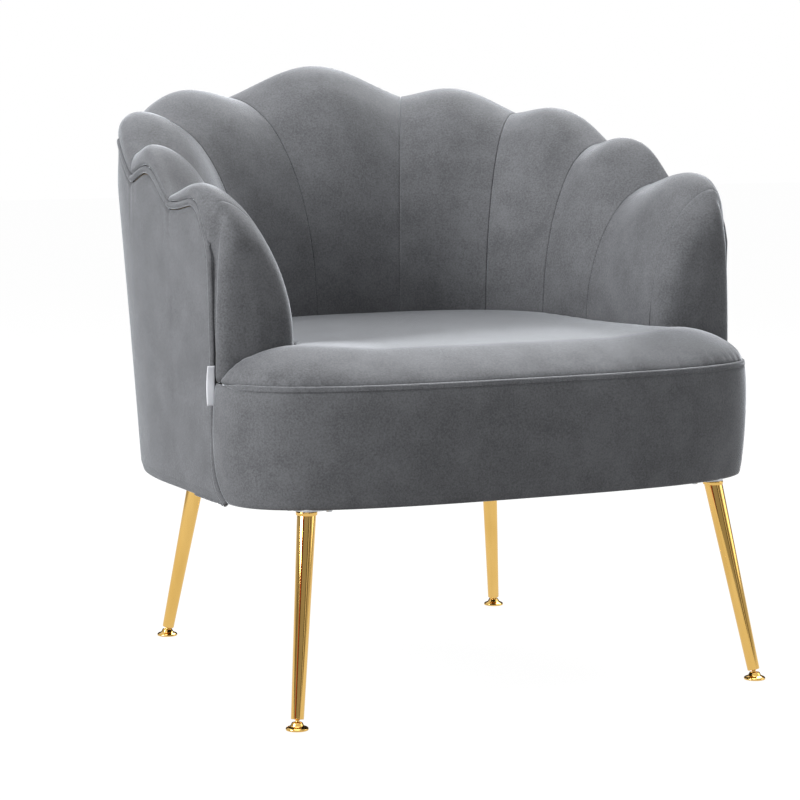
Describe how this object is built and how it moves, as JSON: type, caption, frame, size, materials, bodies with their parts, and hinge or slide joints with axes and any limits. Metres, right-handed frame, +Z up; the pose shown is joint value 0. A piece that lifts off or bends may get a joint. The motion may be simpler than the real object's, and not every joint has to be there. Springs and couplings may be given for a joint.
{
  "type": "scallop back tub chair",
  "caption": "Low tub armchair with a channelled back that rises in scallops, a crowned fixed seat and splayed tapered tube legs on levelling glides.",
  "frame": {"origin": "on the floor under the middle of the chair's overall box", "axes": "+Z up, the chair faces -Y, +X is the viewer's right when looking at its front"},
  "size_m": [0.76, 0.71, 0.8],
  "materials": {
    "velvet": "grey velvet with a short pile",
    "gold": "mirror-polished gold plating",
    "plate_steel": "bright zinc plating",
    "spring_steel": "oiled spring wire",
    "plywood": "raw bent plywood",
    "timber": "raw planed timber",
    "dust_cloth": "black non-woven cloth",
    "tag_cloth": "plain white woven cloth"
  },
  "bodies": {
    "chair": {"seat_cushion": "velvet", "seat_band": "velvet", "back_channel_1": "velvet", "back_channel_2": "velvet", "back_channel_3": "velvet", "back_channel_4": "velvet", "back_channel_5": "velvet", "back_channel_6": "velvet", "back_channel_7": "velvet", "back_channel_8": "velvet", "back_channel_9": "velvet", "outer_cover_left": "velvet", "outer_cover_back": "velvet", "outer_cover_right": "velvet", "piping": "velvet", "side_tag": "tag_cloth", "wall_frame_left": "plywood", "wall_frame_back": "plywood", "wall_frame_right": "plywood", "base_rail_front": "timber", "base_rail_rear": "timber", "base_rail_left": "timber", "base_rail_right": "timber", "seat_spring_1": "spring_steel", "seat_spring_2": "spring_steel", "seat_spring_3": "spring_steel", "seat_spring_4": "spring_steel", "dust_cover": "dust_cloth", "leg_front_left": "gold", "leg_plate_front_left": "plate_steel", "leg_screw_front_left_1": "plate_steel", "leg_screw_front_left_2": "plate_steel", "leg_screw_front_left_3": "plate_steel", "leg_front_right": "gold", "leg_plate_front_right": "plate_steel", "leg_screw_front_right_1": "plate_steel", "leg_screw_front_right_2": "plate_steel", "leg_screw_front_right_3": "plate_steel", "leg_rear_left": "gold", "leg_plate_rear_left": "plate_steel", "leg_screw_rear_left_1": "plate_steel", "leg_screw_rear_left_2": "plate_steel", "leg_screw_rear_left_3": "plate_steel", "leg_rear_right": "gold", "leg_plate_rear_right": "plate_steel", "leg_screw_rear_right_1": "plate_steel", "leg_screw_rear_right_2": "plate_steel", "leg_screw_rear_right_3": "plate_steel"},
    "stem_front_left": {"glide_stem_front_left": "gold"},
    "pad_front_left": {"glide_pad_front_left": "gold"},
    "stem_front_right": {"glide_stem_front_right": "gold"},
    "pad_front_right": {"glide_pad_front_right": "gold"},
    "stem_rear_left": {"glide_stem_rear_left": "gold"},
    "pad_rear_left": {"glide_pad_rear_left": "gold"},
    "stem_rear_right": {"glide_stem_rear_right": "gold"},
    "pad_rear_right": {"glide_pad_rear_right": "gold"}
  },
  "joints": [
    {"name": "glide_height_front_left", "type": "slide", "parent": "chair", "child": "stem_front_left", "axis": [-0.1404, -0.1961, -0.9705], "range_m": [0, 0.008]},
    {"name": "glide_tilt_front_left", "type": "hinge", "parent": "stem_front_left", "child": "pad_front_left", "pos_m": [-0.32924, -0.34081, 0.006], "axis": [0.8131, -0.5822, 0], "range_deg": [-8, 8]},
    {"name": "glide_height_front_right", "type": "slide", "parent": "chair", "child": "stem_front_right", "axis": [0.1404, -0.1961, -0.9705], "range_m": [0, 0.008]},
    {"name": "glide_tilt_front_right", "type": "hinge", "parent": "stem_front_right", "child": "pad_front_right", "pos_m": [0.32924, -0.34081, 0.006], "axis": [0.8131, 0.5822, 0], "range_deg": [-8, 8]},
    {"name": "glide_height_rear_left", "type": "slide", "parent": "chair", "child": "stem_rear_left", "axis": [-0.134, 0.1785, -0.9748], "range_m": [0, 0.008]},
    {"name": "glide_tilt_rear_left", "type": "hinge", "parent": "stem_rear_left", "child": "pad_rear_left", "pos_m": [-0.26089, 0.26699, 0.006], "axis": [-0.7998, -0.6003, 0], "range_deg": [-8, 8]},
    {"name": "glide_height_rear_right", "type": "slide", "parent": "chair", "child": "stem_rear_right", "axis": [0.134, 0.1785, -0.9748], "range_m": [0, 0.008]},
    {"name": "glide_tilt_rear_right", "type": "hinge", "parent": "stem_rear_right", "child": "pad_rear_right", "pos_m": [0.26089, 0.26699, 0.006], "axis": [-0.7998, 0.6003, 0], "range_deg": [-8, 8]}
  ]
}
